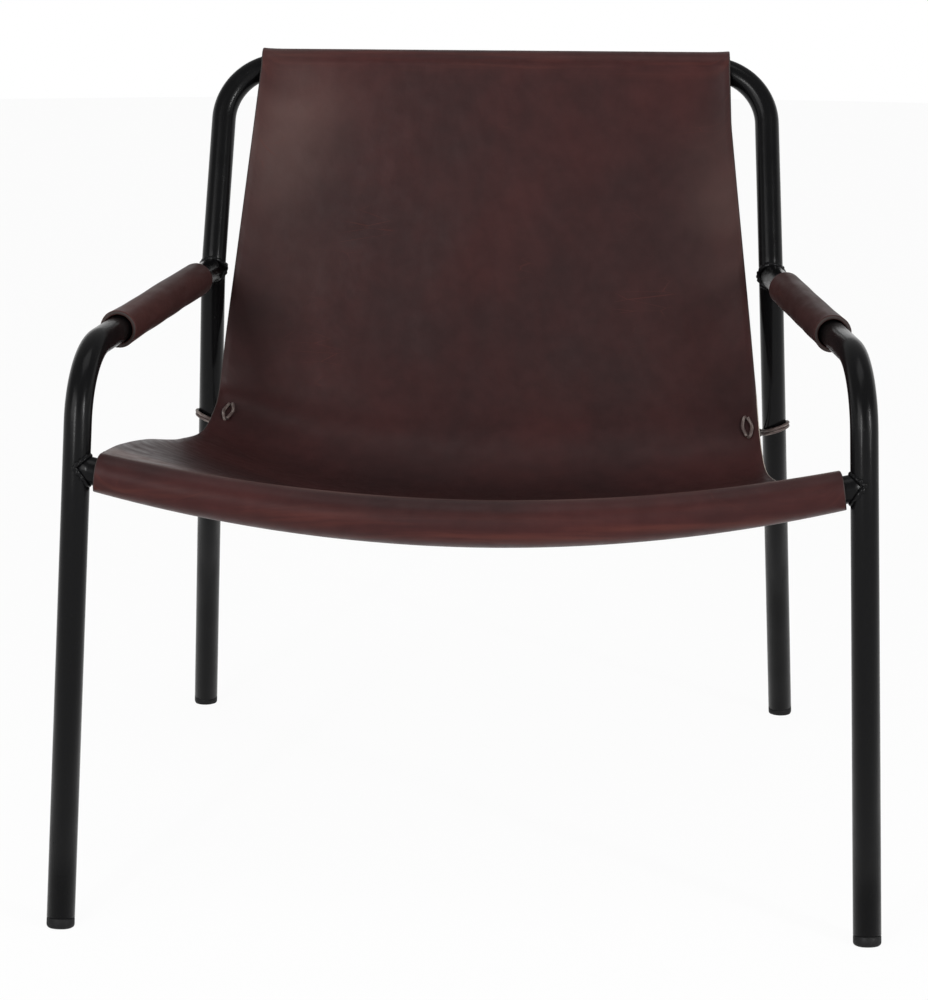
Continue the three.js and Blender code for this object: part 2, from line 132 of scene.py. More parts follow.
# Counts of sides and steps
BEND_STEP = math.radians(3)
TUBE_SIDES = 40
RAIL_POINTS = 61
BEAD_POINTS = 120
BEAD_SIDES = 14
GLIDE_EDGE_POINTS = 9
LACE_SIDES = 12
THREAD_SIDES = 8
SLEEVE_STEPS = 72
SLEEVE_RINGS = 90
SLEEVE_STITCH_POINTS = 9
HEM_STITCH_POINTS = 7
HEM_LINE_POINTS = 400
COLUMNS = 72
PANEL_ROWS = 120
LOOP_ROWS = 30
TAIL_ROWS = 7
CURVE_SAMPLES = 240
LACE_SAMPLES = 14
SOFTEN_REACH = 5
SOFTEN_PASSES = 12

# Used sling's side edges: the left one has kept its wing, the right one has sunk behind the roll.
# Each pair is the share of the way from the front rail back to the top rail, and of the rise
EDGE_SHARES = {
    -1: np.array([
        (0.912, 0.556), (0.852, 0.136), (0.825, -0.072), (0.767, -0.128),
        (0.689, -0.155), (0.52, -0.116), (0.294, -0.024), (0.143, 0.020),
    ]),
    1: np.array([
        (0.912, 0.556), (0.852, 0.136), (0.826, -0.06), (0.787, -0.185),
        (0.715, -0.262), (0.54, -0.244), (0.3, -0.142), (0.143, -0.065),
    ]),
}
MIDDLE_SHARES = np.array([
    (0.905, 0.452), (0.848, -0.024), (0.796, -0.212), (0.719, -0.316),
    (0.623, -0.347), (0.446, -0.306), (0.254, -0.233), (0.093, -0.145),
])
WIDTH_SHARES = [0, 0.115, 0.23, 0.344, 0.452, 0.532, 0.618, 0.709, 0.799, 0.897, 1]

# Wear of the sling's half width: shares of the way down the panel, and metres
ROLL_WEAR = ((0.92, 1, 1.18, 1.55, 2), (0, -0.004, -0.0015, 0.0026, 0.0026))
RIGHT_WEAR = ((0, 0.07, 0.3, 0.52, 0.8), (0, 0.0045, 0.0055, 0.0055, 0))

# Uneven height of the used leather: metres, waves per metre across, up and back, and an offset
SAG = (0.0035, (4.5, 5, 5), 3.1)
RIPPLE = (0.0008, (14, 11, 11), 0)
SAG_START, SAG_END = (0.03, 0.11), (0.97, 0.89)

# Zones of the leather's tone, each fading in from the first value to the second: by the share of
# the way down it, and by the parts of its outward direction that point back or up
# The crest zone lays a painted highlight where the leather's face turns a little back: the crest
# and the left wing
FRONT_ZONE, TOP_ZONE, CREST_ZONE = (0.93, 0.96), (0.02, 0), (1.5, 1.4)
# The roll's warm tone and worn streaks fade out on its upward faces, a painted shade that keeps its
# top darker
ROLL_FACING_UP = (0.75, -0.15)
CREST_FACING_BACK, CREST_SPREAD = 0.06, 0.15
TOP_STREAKS = 0.6

# Painted sheen blooms and painted shade spots on the sling's face: place across and spread in
# metres, place down the leather and length as shares, and strength
SLING_PAINTED_SHEEN = [
    (-0.225, 0.060, 0.060, 0.070, 0.45), (-0.240, 0.060, 0.180, 0.110, 0.28),
    (0.262, 0.050, 0.170, 0.090, 0.38),
]
SLING_PAINTED_SHADE = [
    (-0.265, 0.060, 0.315, 0.060, 0.45), (-0.270, 0.070, 0.430, 0.060, 0.40),
    (0.262, 0.060, 0.400, 0.090, 0.40), (0.0, 0.220, 0.555, 0.050, 0.42),
]

SIDES = {"left": -1, "right": 1}

# The frame's Y starts under the middle of the chair; the front rail gives the step between the two
RAIL_SETBACK = ARM_CORNER[1] * RAIL_HEIGHT / ARM_CORNER[2]
rail_low, rail_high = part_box("front_rail")
SHIFT = Vector((0, (rail_low[1] + rail_high[1]) / 2 - RAIL_SETBACK, 0))


# Camera
CAMERA_PLACE = (0.1204, -2.4794, 0.9968)
CAMERA_PITCH = math.radians(-13.26)
CAMERA_YAW = math.radians(2.76)
CAMERA_ROLL = math.radians(0.25)
CAMERA_LENS = 103.36
CAMERA_SENSOR = 36.0


def make_camera():
    data = bpy.data.cameras.new("camera")
    data.lens = CAMERA_LENS
    data.sensor_width = CAMERA_SENSOR
    camera = bpy.data.objects.new("camera", data)
    camera.location = Vector(CAMERA_PLACE) + SHIFT
    aim = Euler((math.pi / 2 + CAMERA_PITCH, 0, CAMERA_YAW)).to_matrix()
    camera.rotation_euler = (aim @ Matrix.Rotation(CAMERA_ROLL, 3, "Z")).to_euler()
    bpy.context.scene.collection.objects.link(camera)
    bpy.context.scene.camera = camera


make_camera()


# Shader nodes
class Shader:
    """A material's node tree, with short calls to add and join nodes."""

    def __init__(self, name):
        self.material = bpy.data.materials.new(name)
        self.material.use_nodes = True
        self.tree = self.material.node_tree
        self.tree.nodes.clear()
        self.output = self.tree.nodes.new("ShaderNodeOutputMaterial")

    def add(self, kind, links=None, values=None, **settings):
        node = self.tree.nodes.new("ShaderNode" + kind)
        for key, value in settings.items():
            setattr(node, key, value)
        for key, value in (values or {}).items():
            node.inputs[key].default_value = value
        for key, socket in (links or {}).items():
            self.tree.links.new(socket, node.inputs[key])
        return node

    def attribute(self, name, output="Fac"):
        return self.add("Attribute", attribute_name=name).outputs[output]

    def noise(self, place, grain):
        """Noise of a grain: its scale, detail and roughness."""
        return self.add("TexNoise", {"Vector": place}, dict(zip(
            ("Scale", "Detail", "Roughness"), grain))).outputs["Fac"]

    def stretched(self, place, scale, turn=(0, 0, 0)):
        values = {"Scale": scale, "Rotation": turn}
        return self.add("Mapping", {"Vector": place}, values).outputs["Vector"]

    def ramp(self, value, low, high, start=0.0, end=1.0):
        return self.add("MapRange", {"Value": value}, {
            "From Min": low, "From Max": high, "To Min": start, "To Max": end,
        }, interpolation_type="SMOOTHSTEP").outputs["Result"]

    def spots(self, place, grain, window, levels=(0.0, 1.0)):
        """What a window shows of a noise, brought to two levels."""
        return self.ramp(self.noise(place, grain), *window, *levels)

    def math(self, operation, a, b):
        node = self.add("Math", operation=operation)
        for index, value in enumerate((a, b)):
            if isinstance(value, (int, float)):
                node.inputs[index].default_value = value
            else:
                self.tree.links.new(value, node.inputs[index])
        return node.outputs["Value"]

    def product(self, first, *others):
        for other in others:
            first = self.math("MULTIPLY", first, other)
        return first

    def mix(self, share, a, b, blend="MIX"):
        node = self.add("Mix", data_type="RGBA", blend_type=blend)
        for socket, value in zip((node.inputs[0], node.inputs[6], node.inputs[7]), (share, a, b)):
            if isinstance(value, (int, float, tuple)):
                socket.default_value = value
            else:
                self.tree.links.new(value, socket)
        return node.outputs[2]

    def bump(self, height, strength_distance, normal=None):
        links = {"Height": height}
        if normal is not None:
            links["Normal"] = normal
        values = dict(zip(("Strength", "Distance"), strength_distance))
        return self.add("Bump", links, values).outputs["Normal"]

    def finish(self, shader):
        self.tree.links.new(shader, self.output.inputs["Surface"])
        return self.material


def colour(red, green, blue):
    """sRGB values from 0 to 255 as a linear colour."""
    def linear(value):
        value /= 255
        return value / 12.92 if value <= 0.04045 else ((value + 0.055) / 1.055) ** 2.4
    return (linear(red), linear(green), linear(blue), 1.0)


# Leather: a noise's grain (scale, detail, roughness), the window shown of it and, where they
# aren't 0 and 1, its two levels; then its stretch and how much of it shows; bumps are (strength,
# distance)
CLOUD, CLOUD_SHARE = ((5.5, 4, 0.55), (0.34, 0.7)), 0.7
MOTTLE, MOTTLE_SHARE = ((46, 5, 0.6), (0.3, 0.72), (0.84, 1.16)), 0.7
STREAK, STREAK_STRETCH, STREAK_SHARE = ((1.0, 5, 0.62), (0.42, 0.72)), (5, 95, 5), 0.7
SHADE, SHADE_STRETCH, SHADE_SHARE = ((1.0, 3, 0.5), (0.5, 0.78)), (7, 60, 7), 0.6
# The pale patch noise breaks the sling's painted highlight into patches
PALE_PATCH, PALE_PATCH_STRETCH = ((1.0, 1, 0.5), (0.3, 0.7), (0.3, 0.75)), (7, 16, 7)
SCRATCH_STRETCH, SCRATCH_TURN, SCRATCH_SCALE = (9, 46, 9), (0, 0, math.radians(24)), 1.6
SCRATCH_WIDTH, SCRATCH_SHARE, SCRATCH_DEPTH, SCRATCH_ROUGHNESS = 0.018, 0.4, 0.8, 0.1
PATCH = ((8.5, 2, 0.5), (0.57, 0.68))
PORE_SCALE, PORE_DEPTH = 780.0, 0.6
FINE_GRAIN, FINE_DEPTH = (1500, 2, 0.6), 0.5
WAVE_GRAIN, WAVE_BUMP, PORE_BUMP = (24, 3, 0.5), (0.22, 0.004), (0.08, 0.0006)
SHEEN, SHEEN_BELOW, SHEEN_ABOVE = ((60, 4, 0.6), (0.3, 0.75)), 0.05, 0.08
SHINE_TINT = (0.2, 0.2, 0.2, 1)
# Near black that the sling's painted shade spots mix towards
PAINTED_SHADE_COLOUR = colour(9, 6, 6)


def leather(name, dark, warm, worn, pale, streaks, roughness, shine):
    """Smooth saddle leather: warm clouds, faint streaks and scratches, fine pores, a soft sheen."""
    s = Shader(name)
    place = s.attribute("cut", "Vector")
    zone = s.attribute("roll")
    painted_highlight = s.attribute("painted_highlight")
    cloud = s.spots(place, *CLOUD)
    tone = s.mix(s.product(cloud, CLOUD_SHARE), dark, warm)
    # Roll layer: warm tone and streaks are wear, and their fading on upward faces is painted shade
    tone = s.mix(s.product(zone, streaks), tone, warm)
    mottle = s.spots(place, *MOTTLE)
    grey = s.add("CombineColor", {"Red": mottle, "Green": mottle, "Blue": mottle}).outputs["Color"]
    tone = s.mix(MOTTLE_SHARE, tone, s.mix(1.0, tone, grey, "MULTIPLY"))
    streak = s.spots(s.stretched(place, STREAK_STRETCH), *STREAK)
    tone = s.mix(s.product(streak, zone, STREAK_SHARE), tone, worn)
    shade = s.spots(s.stretched(place, SHADE_STRETCH), *SHADE)
    tone = s.mix(s.product(shade, zone, SHADE_SHARE), tone, dark)
    pale_mask = s.spots(s.stretched(place, PALE_PATCH_STRETCH), *PALE_PATCH)
    # Painted highlight: pale where the sling's highlight layer lies, in patches
    tone = s.mix(s.product(painted_highlight, pale_mask), tone, pale)
    # Painted shade: darker spots low on the back's sides and across the fold above the seat
    tone = s.mix(s.attribute("painted_shade"), tone, PAINTED_SHADE_COLOUR)
    along_it = s.stretched(place, SCRATCH_STRETCH, SCRATCH_TURN)
    line = s.add("TexVoronoi", {"Vector": along_it}, {"Scale": SCRATCH_SCALE},
                 feature="DISTANCE_TO_EDGE")
    thin = s.ramp(line.outputs["Distance"], 0.0, SCRATCH_WIDTH, 1.0, 0.0)
    patch = s.spots(place, *PATCH)
    scratch = s.product(thin, patch)
    tone = s.mix(s.product(scratch, SCRATCH_SHARE), tone, worn)
    pores = s.add("TexVoronoi", {"Vector": place}, {"Scale": PORE_SCALE, "Randomness": 1.0},
                  feature="SMOOTH_F1")
    fine = s.noise(place, FINE_GRAIN)
    waves = s.noise(place, WAVE_GRAIN)
    pits = s.product(pores.outputs["Distance"], PORE_DEPTH)
    height = s.math("ADD", pits, s.product(fine, FINE_DEPTH))
    height = s.math("SUBTRACT", height, s.product(scratch, SCRATCH_DEPTH))
    normal = s.bump(height, PORE_BUMP, s.bump(waves, WAVE_BUMP))
    dull = s.spots(place, *SHEEN, (roughness - SHEEN_BELOW, roughness + SHEEN_ABOVE))
    rough = s.math("ADD", dull, s.product(scratch, SCRATCH_ROUGHNESS))
    shader = s.add("BsdfPrincipled", {"Base Color": tone, "Roughness": rough, "Normal": normal}, {
        "Specular IOR Level": shine, "Specular Tint": SHINE_TINT,
    })
    return s.finish(shader.outputs["BSDF"])


FIBRE_GRAIN, FIBRE_WINDOW, FIBRE_BUMP = (900, 4, 0.7), (0.4, 0.7, 0.0, 0.35), (0.3, 0.0004)
BARE_FROM_X = (0.2, 0.25)
BARE_FADE_IN, BARE_FADE_OUT = 0.03, 0.05


def raw_edge(name, tint, burnt, bare):
    """Cut edge: burnished dark, with pale fibres bare on the right between two places down it."""
    s = Shader(name)
    place = s.add("TexCoord").outputs["Object"]
    cut = s.add("SeparateXYZ", {"Vector": s.attribute("cut", "Vector")}).outputs
    fibre = s.noise(place, FIBRE_GRAIN)
    right = s.ramp(cut["X"], *BARE_FROM_X)
    pale_mask = s.product(right, s.ramp(cut["Y"], bare[0], bare[0] + BARE_FADE_IN))
    pale_mask = s.product(pale_mask, s.ramp(cut["Y"], bare[1], bare[1] + BARE_FADE_OUT, 1.0, 0.0))
    tone = s.mix(pale_mask, burnt, tint)
    tone = s.mix(s.ramp(fibre, *FIBRE_WINDOW), tone, burnt)
    normal = s.bump(fibre, FIBRE_BUMP)
    shader = s.add("BsdfPrincipled", {"Base Color": tone, "Normal": normal}, {"Roughness": 0.7})
    return s.finish(shader.outputs["BSDF"])


PEEL_GRAIN, PEEL_BUMP = (520, 2, 0.5), (0.12, 0.0005)
SPECK, SPECK_TINT = ((190, 4, 0.7), (0.66, 0.76)), colour(44, 43, 43)
SPECK_SHARE, SPECK_ROUGHNESS = 0.25, 0.2
GLOSS = ((34, 3, 0.5), (0.3, 0.7), (0.19, 0.26))


def powder_coat(name, tint):
    """Semi-gloss black powder coat, with a slight orange peel and a few dull specks."""
    s = Shader(name)
    place = s.add("TexCoord").outputs["Object"]
    peel = s.noise(place, PEEL_GRAIN)
    speck = s.spots(place, *SPECK)
    tone = s.mix(s.product(speck, SPECK_SHARE), tint, SPECK_TINT)
    gloss = s.spots(place, *GLOSS)
    rough = s.math("ADD", gloss, s.product(speck, SPECK_ROUGHNESS))
    normal = s.bump(peel, PEEL_BUMP)
    shader = s.add("BsdfPrincipled", {"Base Color": tone, "Roughness": rough, "Normal": normal}, {
        "Specular IOR Level": 0.12,
    })
    return s.finish(shader.outputs["BSDF"])


MOULD_GRAIN, MOULD_BUMP = (1300, 2, 0.6), (0.25, 0.0003)
WEAR = ((90, 3, 0.6), (0.3, 0.7), (0.5, 0.66))
SCUFF, SCUFF_TINT, SCUFF_SHARE = ((260, 3, 0.6), (0.6, 0.75)), colour(48, 47, 46), 0.4


def moulded_plastic(name, tint):
    """Matte black plastic with a fine mould grain and a few scuffs."""
    s = Shader(name)
    place = s.add("TexCoord").outputs["Object"]
    normal = s.bump(s.noise(place, MOULD_GRAIN), MOULD_BUMP)
    rough = s.spots(place, *WEAR)
    scuff = s.spots(place, *SCUFF)
    tone = s.mix(s.product(scuff, SCUFF_SHARE), tint, SCUFF_TINT)
    shader = s.add("BsdfPrincipled", {"Base Color": tone, "Roughness": rough, "Normal": normal}, {
        "Specular IOR Level": 0.2,
    })
    return s.finish(shader.outputs["BSDF"])


STRAND_GRAIN, STRAND_STRETCH = (1.0, 3, 0.6), (260, 900)
STRAND_WINDOW, STRAND_BUMP = (0.45, 0.7), (0.4, 0.0004)


def cord_finish(name, tint, pale, twist):
    """Waxed lace or thread: fine strands along it and worn, paler high spots."""
    s = Shader(name)
    place = s.attribute("cut", "Vector")
    strand = s.noise(s.stretched(place, (twist, *STRAND_STRETCH)), STRAND_GRAIN)
    tone = s.mix(s.ramp(strand, *STRAND_WINDOW), tint, pale)
    normal = s.bump(strand, STRAND_BUMP)
    shader = s.add("BsdfPrincipled", {"Base Color": tone, "Normal": normal}, {
        "Roughness": 0.45, "Sheen Weight": 0.1,
    })
    return s.finish(shader.outputs["BSDF"])


FRAME_PAINT = powder_coat("powder_coat", colour(10, 10, 11))
GLIDE_PLASTIC = moulded_plastic("glide_plastic", colour(15, 15, 16))
# The sling's pale colour is the colour of its painted highlight on the crest and blooms
SLING_LEATHER = leather(
    "sling_leather", dark=colour(45, 26, 26), warm=colour(62, 31, 30), worn=colour(84, 45, 39),
    pale=colour(104, 82, 77), streaks=0.6, roughness=0.42, shine=0.5)
SLEEVE_LEATHER = leather(
    "sleeve_leather", dark=colour(54, 35, 34), warm=colour(74, 42, 39), worn=colour(94, 58, 52),
    pale=colour(94, 58, 52), streaks=0.25, roughness=0.5, shine=0.25)
RAW_EDGE = raw_edge("leather_edge", colour(176, 166, 154), colour(40, 28, 25), (0.47, 0.84))
LACE = cord_finish("lace", colour(66, 50, 46), colour(130, 119, 113), 90)
THREAD = cord_finish("thread", colour(38, 26, 23), colour(66, 50, 44), 200)


# Mesh helpers
def add_piece(name, points, faces, materials, nodes, cut=None, layers=None, marks=None):
    """Mesh piece moved to the frame's origin, riding on the one body in place of its nodes."""
    mesh = bpy.data.meshes.new(name)
    mesh.from_pydata([Vector(p) + SHIFT for p in points], [], [tuple(map(int, f)) for f in faces])
    for material in materials:
        mesh.materials.append(material)
    if cut is not None:
        layer = mesh.attributes.new("cut", "FLOAT_VECTOR", "POINT")
        layer.data.foreach_set("vector", np.asarray(cut, dtype=np.float32).ravel())
    for key, values in (layers or {}).items():
        layer = mesh.attributes.new(key, "FLOAT", "POINT")
        layer.data.foreach_set("value", np.asarray(values, dtype=np.float32).ravel())
    if marks is not None:
        mesh.polygons.foreach_set("material_index", np.asarray(marks, dtype=np.int32))
    mesh.polygons.foreach_set("use_smooth", np.ones(len(mesh.polygons), dtype=bool))
    mesh.validate()
    shell = bmesh.new()
    shell.from_mesh(mesh)
    bmesh.ops.recalc_face_normals(shell, faces=shell.faces)
    shell.to_mesh(mesh)
    shell.free()
    mesh.update()
    piece = bpy.data.objects.new(name, mesh)
    bpy.context.scene.collection.objects.link(piece)
    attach(piece, "root")
    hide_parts(*nodes)
    return piece


def unit(vector):
    return vector / np.linalg.norm(vector)


def mirrored(point, side):
    return np.array((side * point[0], point[1], point[2]))


def along(start, end, distance):
    return start + unit(end - start) * distance


def turned(vector, axis, angle):
    """Vector turned about a unit axis."""
    return (vector * math.cos(angle) + np.cross(axis, vector) * math.sin(angle)
            + axis * np.dot(axis, vector) * (1 - math.cos(angle)))


def bent_path(corners, bends):
    """Straight runs with a round bend at each inner corner: places and directions."""
    corners = [np.asarray(c, dtype=float) for c in corners]
    points, ways = [corners[0]], [unit(corners[1] - corners[0])]
    for index, bend in enumerate(bends):
        corner = corners[index + 1]
        inward, outward = unit(corner - corners[index]), unit(corners[index + 2] - corner)
        turn = math.acos(max(-1.0, min(1.0, float(np.dot(inward, outward)))))
        axis = unit(np.cross(inward, outward))
        start = corner - inward * bend * math.tan(turn / 2)
        centre = start + np.cross(axis, inward) * bend
        steps = max(2, round(turn / BEND_STEP))
        for k in range(steps + 1):
            angle = turn * k / steps
            points.append(centre + turned(start - centre, axis, angle))
            ways.append(turned(inward, axis, angle))
    points.append(corners[-1])
    ways.append(unit(corners[-1] - corners[-2]))
    return np.array(points), np.array(ways)


def units(vectors):
    return vectors / np.linalg.norm(vectors, axis=1)[:, None]


def ways_of(points):
    return units(np.gradient(points, axis=0))


def lengths_along(points):
    """Length of a line up to each of its points."""
    return np.concatenate([[0], np.cumsum(np.linalg.norm(np.diff(points, axis=0), axis=1))])


def carried_frames(ways):
    """Two directions square to each way along a path, turning as little as possible."""
    first = np.cross(ways[0], (0, 0, 1) if abs(ways[0][2]) < STEEP else (1, 0, 0))
    sideways = [unit(first)]
    for before, after in zip(ways[:-1], ways[1:]):
        axis = np.cross(before, after)
        size = np.linalg.norm(axis)
        vector = sideways[-1]
        if size > STRAIGHT:
            vector = turned(vector, axis / size, math.asin(min(1.0, size)))
        vector = vector - after * np.dot(vector, after)
        sideways.append(unit(vector))
    sideways = np.array(sideways)
    return sideways, np.cross(ways, sideways)


def sweep(points, ways, radius, sides, closed=False):
    """Round bar along a path, as points, faces and cut coordinates."""
    count = len(points)
    radii = np.broadcast_to(radius, count)
    across, up = carried_frames(ways)
    angles = 2 * math.pi * np.arange(sides) / sides
    cosines, sines = np.cos(angles)[None, :, None], np.sin(angles)[None, :, None]
    ring = cosines * across[:, None] + sines * up[:, None]
    verts = (points[:, None] + ring * radii[:, None, None]).reshape(-1, 3)
    cut = np.stack([
        np.repeat(lengths_along(points), sides),
        np.tile(angles, count) * np.mean(radii),
        np.zeros(count * sides),
    ], axis=1)
    faces = []
    for i in range(count if closed else count - 1):
        for k in range(sides):
            a, b = i * sides + k, i * sides + (k + 1) % sides
            step = sides if i < count - 1 else -i * sides
            faces.append((a, b, b + step, a + step))
    if not closed:
        faces.append(tuple(range(sides))[::-1])
        faces.append(tuple(range((count - 1) * sides, count * sides)))
    return verts, faces, cut


def joined(parts):
    """Several meshes with their cut coordinates as one."""
    verts, faces, cuts, start = [], [], [], 0
    for part_verts, part_faces, part_cut in parts:
        verts.append(part_verts)
        cuts.append(part_cut)
        faces += [tuple(i + start for i in face) for face in part_faces]
        start += len(part_verts)
    return np.concatenate(verts), faces, np.concatenate(cuts)


# Tube frame
def foot_end(foot, above):
    return along(foot, above, GLIDE_HEIGHT)


rear_points, rear_ways = bent_path([
    foot_end(mirrored(REAR_FOOT, -1), mirrored(ARM_JOINT, -1)), mirrored(ARM_JOINT, -1),
    mirrored(TOP_CORNER, -1), mirrored(TOP_CORNER, 1), mirrored(ARM_JOINT, 1),
    foot_end(mirrored(REAR_FOOT, 1), mirrored(ARM_JOINT, 1)),
], [UPRIGHT_BEND, TOP_BEND, TOP_BEND, UPRIGHT_BEND])


def upright_at(side, height):
    """Centre line of an upright and its direction at a height."""
    keep = side * rear_points[:, 0] > 0
    points, ways = rear_points[keep], rear_ways[keep]
    order = np.argsort(points[:, 2])
    place = np.array([np.interp(height, points[order, 2], points[order, k]) for k in range(3)])
    way = np.array([np.interp(height, points[order, 2], ways[order, k]) for k in range(3)])
    return place, unit(way)


def top_rail_at(x):
    """Centre line of the top rail, where it runs across rather than down."""
    high = rear_points[:, 2] > ARM_JOINT[2] + 2 * UPRIGHT_BEND
    points = rear_points[high & (np.abs(rear_ways[:, 0]) > RUNS_ACROSS)]
    return np.array([x, *(np.interp(x, points[:, 0], points[:, k]) for k in (1, 2))])


def leg_at(side, height):
    foot, corner = mirrored(FRONT_FOOT, side), mirrored(ARM_CORNER, side)
    return foot + (corner - foot) * height / ARM_CORNER[2]


RAIL_HALF = leg_at(1, RAIL_HEIGHT)[0]
RAIL_RADIUS = (RAIL_HALF ** 2 + RAIL_BOW ** 2) / (2 * RAIL_BOW)


def rail_at(x):
    drop = math.sqrt(RAIL_RADIUS ** 2 - x ** 2) - math.sqrt(RAIL_RADIUS ** 2 - RAIL_HALF ** 2)
    return np.array([x, RAIL_SETBACK, RAIL_HEIGHT - drop - RAIL_TILT * x])


def arm_path(side):
    joint, _ = upright_at(side, ARM_JOINT[2])
    foot, corner = mirrored(FRONT_FOOT, side), mirrored(ARM_CORNER, side)
    return bent_path([foot_end(foot, corner), corner, joint], [ARM_BEND])


def tube_piece(name, points, ways):
    verts, faces, cut = sweep(points, ways, TUBE_RADIUS, TUBE_SIDES)
    add_piece(f"{name}_tube", verts, faces, [FRAME_PAINT], [name], cut)


def bead_curve(end, arm_way, post_way):
    """Curve where one tube's surface meets another's, seen from the first tube's end."""
    side_way = unit(np.cross(arm_way, post_way))
    up_way = np.cross(side_way, arm_way)
    flat = arm_way - post_way * np.dot(arm_way, post_way)
    size = float(np.dot(flat, flat))
    places = []
    for angle in 2 * math.pi * np.arange(BEAD_POINTS) / BEAD_POINTS:
        spoke = TUBE_RADIUS * (math.cos(angle) * side_way + math.sin(angle) * up_way)
        level = spoke - post_way * np.dot(spoke, post_way)
        reach = float(np.dot(level, flat))
        root = max(0.0, reach ** 2 - size * (float(np.dot(level, level)) - TUBE_RADIUS ** 2))
        places.append(end + spoke - arm_way * (math.sqrt(root) + reach) / size)
    return np.array(places)


def bead_piece(name, end, arm_way, post_way, size):
    """Weld bead: a closed ripple of uneven overlapping drops, swelling on the post's side only."""
    curve = bead_curve(end, arm_way, post_way)
    loop = np.concatenate([curve[-1:], curve, curve[:1]])
    ways = units(loop[2:] - loop[:-2])
    ripple = np.arange(len(curve)) * 2 * math.pi * BEAD_RIPPLES / len(curve)
    lumps = np.array([max(0.0, noise.noise(Vector(p * BEAD_LUMPS_PER_M))) for p in curve])
    radius = BEAD_RADIUS * (size + BEAD_RIPPLE * np.sin(ripple) + BEAD_LUMP * lumps)
    curve = curve + arm_way * np.maximum(0, radius - BEAD_RADIUS)[:, None]
    verts, faces, cut = sweep(curve, ways, radius, BEAD_SIDES, closed=True)
    add_piece(f"{name}_bead", verts, faces, [FRAME_PAINT], [name], cut)


tube_piece("rear_frame", rear_points, rear_ways)
for side_name, side in SIDES.items():
    points, ways = arm_path(side)
    tube_piece(f"arm_leg_{side_name}", points, ways)
    joint, post_way = upright_at(side, ARM_JOINT[2])
    bead_piece(f"weld_arm_{side_name}", joint, ways[-1], post_way, BEAD_SIZE_ARM)
    leg_way = unit(mirrored(ARM_CORNER, side) - mirrored(FRONT_FOOT, side))
    rail_end = rail_at(side * RAIL_HALF)
    rail_way = unit(rail_end - rail_at(side * (RAIL_HALF - TUBE_RADIUS)))
    bead_piece(f"weld_rail_{side_name}", rail_end, rail_way, leg_way, BEAD_SIZE_RAIL)

rail_points = np.array([rail_at(x) for x in np.linspace(-RAIL_HALF, RAIL_HALF, RAIL_POINTS)])
tube_piece("front_rail", rail_points, ways_of(rail_points))


def glide_piece(name, foot, above):
    """Plug in a tube end: a stem in the tube and a cap with a round edge, flat on the floor."""
    axis = unit(above - foot)
    end = foot_end(foot, above)
    bottom = -GLIDE_HEIGHT - GLIDE_OVERRUN
    edge = [(TUBE_RADIUS - GLIDE_EDGE * (1 - math.sin(a)), bottom + GLIDE_EDGE * (1 - math.cos(a)))
            for a in np.linspace(0, math.pi / 2, GLIDE_EDGE_POINTS)]
    profile = [(GLIDE_HOLE, bottom)] + edge + [
        (TUBE_RADIUS, -GLIDE_LIP), (TUBE_RADIUS - GLIDE_CHAMFER, -GLIDE_SEAM),
        (TUBE_RADIUS - GLIDE_WALL, -GLIDE_SEAM), (TUBE_RADIUS - GLIDE_WALL, GLIDE_STEM),
        (GLIDE_HOLE, GLIDE_STEM),
    ]
    across, up = carried_frames(np.array([axis, axis]))
    angles = 2 * math.pi * np.arange(TUBE_SIDES) / TUBE_SIDES
    spokes = np.cos(angles)[:, None] * across[0] + np.sin(angles)[:, None] * up[0]
    verts = np.concatenate([end + axis * height + spokes * radius for radius, height in profile])
    verts[:, 2] = np.maximum(verts[:, 2], 0.0)
    faces = []
    for i in range(len(profile) - 1):
        for k in range(TUBE_SIDES):
            a, b = i * TUBE_SIDES + k, i * TUBE_SIDES + (k + 1) % TUBE_SIDES
            faces.append((a, b, b + TUBE_SIDES, a + TUBE_SIDES))
    faces.append(tuple(range(TUBE_SIDES))[::-1])
    faces.append(tuple(range((len(profile) - 1) * TUBE_SIDES, len(profile) * TUBE_SIDES)))
    add_piece(f"{name}_plug", verts, faces, [GLIDE_PLASTIC], [name])


for side_name, side in SIDES.items():
    glide_piece(f"glide_front_{side_name}", mirrored(FRONT_FOOT, side), mirrored(ARM_CORNER, side))
    glide_piece(f"glide_rear_{side_name}", mirrored(REAR_FOOT, side), mirrored(ARM_JOINT, side))


# Sling: columns across the chair, rows along the leather
HEM_OFFSET = LEATHER + HEM_GAP
HEM_CORNER = TAIL_ROWS - 1
WAY_STEP = 0.0005
LEAST_STEP = 1e-6


def smooth_curve(knots, samples):
    """Centripetal curve through points."""
    p = np.vstack([2 * knots[0] - knots[1], knots, 2 * knots[-1] - knots[-2]])
    share = np.linspace(0, 1, samples, endpoint=False)[:, None]
    pieces = []
    for p0, p1, p2, p3 in zip(p[:-3], p[1:-2], p[2:-1], p[3:]):
        d0, d1, d2 = (max(LEAST_STEP, np.linalg.norm(b - a)) ** 0.5
                      for a, b in ((p0, p1), (p1, p2), (p2, p3)))
        t1 = ((p1 - p0) / d0 - (p2 - p0) / (d0 + d1) + (p2 - p1) / d1) * d1
        t2 = ((p2 - p1) / d1 - (p3 - p1) / (d1 + d2) + (p3 - p2) / d2) * d1
        pieces.append(p1 + t1 * share + (-3 * p1 + 3 * p2 - 2 * t1 - t2) * share ** 2
                      + (2 * p1 - 2 * p2 + t1 + t2) * share ** 3)
    return np.vstack(pieces + [knots[-1:]])


